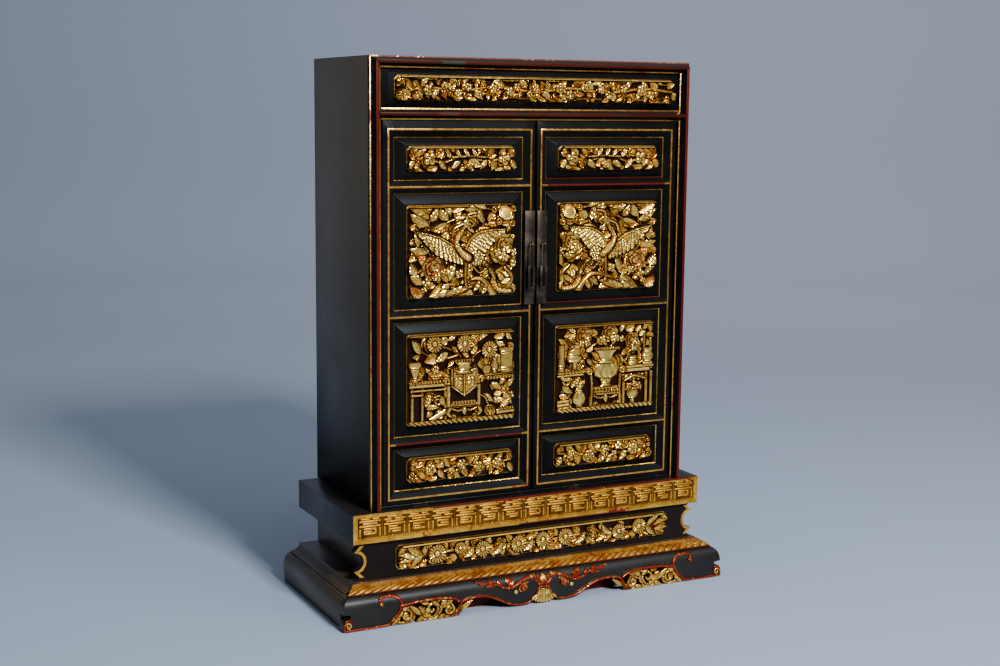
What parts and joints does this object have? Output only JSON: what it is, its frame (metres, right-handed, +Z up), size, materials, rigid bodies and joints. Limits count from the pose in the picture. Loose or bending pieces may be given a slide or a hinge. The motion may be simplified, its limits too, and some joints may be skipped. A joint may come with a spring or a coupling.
{
  "type": "altar cabinet",
  "caption": "Lacquered altar cabinet: two framed doors with gilt carved panels, carved frieze, key-fret slab and a moulded base.",
  "frame": {"origin": "middle of the footprint, on the surface that the cabinet stands on", "axes": "+Z up, the doors face -Y, +X to the viewer's right when facing the doors"},
  "size_m": [0.477, 0.1999, 0.6],
  "materials": {
    "black_lacquer": "satin black lacquer, worn at edges",
    "red_lacquer": "satin red lacquer",
    "gilding": "worn gilding on carved wood",
    "aged_bronze": "dark aged bronze"
  },
  "bodies": {
    "case": {"apron_front": "black_lacquer", "back_board": "black_lacquer", "base_back": "black_lacquer", "base_backing": "red_lacquer", "base_side_left": "black_lacquer", "base_side_right": "black_lacquer", "base_top": "black_lacquer", "floor_board": "black_lacquer", "frieze_carving": "gilding", "frieze_panel": "black_lacquer", "gadroon_moulding": "gilding", "rail_middle": "black_lacquer", "rail_top": "black_lacquer", "side_left": "black_lacquer", "side_right": "black_lacquer", "slab": "gilding", "stile_left": "black_lacquer", "stile_right": "black_lacquer", "top_board": "black_lacquer", "waist_back": "black_lacquer", "waist_carving": "gilding", "waist_front": "black_lacquer", "waist_side_left": "black_lacquer", "waist_side_right": "black_lacquer"},
    "left_door": {"door_left_carving_antiques": "gilding", "door_left_carving_bottom": "gilding", "door_left_carving_phoenix": "gilding", "door_left_carving_top": "gilding", "door_left_eye": "aged_bronze", "door_left_frame": "black_lacquer", "door_left_panel_antiques": "black_lacquer", "door_left_panel_bottom": "black_lacquer", "door_left_panel_phoenix": "black_lacquer", "door_left_panel_top": "black_lacquer", "door_left_plate": "aged_bronze"},
    "right_door": {"door_right_carving_antiques": "gilding", "door_right_carving_bottom": "gilding", "door_right_carving_phoenix": "gilding", "door_right_carving_top": "gilding", "door_right_eye": "aged_bronze", "door_right_frame": "black_lacquer", "door_right_panel_antiques": "black_lacquer", "door_right_panel_bottom": "black_lacquer", "door_right_panel_phoenix": "black_lacquer", "door_right_panel_top": "black_lacquer", "door_right_plate": "aged_bronze"},
    "left_pull": {"door_left_pull": "aged_bronze"},
    "right_pull": {"door_right_pull": "aged_bronze"}
  },
  "joints": [
    {"name": "left_door_hinge", "type": "hinge", "parent": "case", "child": "left_door", "pos_m": [-0.1755, -0.0615, 0.1233], "axis": [0, 0, -1], "range_deg": [0, 95]},
    {"name": "left_pull_hinge", "type": "hinge", "parent": "left_door", "child": "left_pull", "pos_m": [-0.00765, -0.0738, 0.4002], "axis": [-1, 0, 0], "range_deg": [0, 90]},
    {"name": "right_door_hinge", "type": "hinge", "parent": "case", "child": "right_door", "pos_m": [0.1755, -0.0615, 0.1233], "axis": [0, 0, 1], "range_deg": [0, 95]},
    {"name": "right_pull_hinge", "type": "hinge", "parent": "right_door", "child": "right_pull", "pos_m": [0.00765, -0.0738, 0.4002], "axis": [-1, 0, 0], "range_deg": [0, 90]}
  ]
}
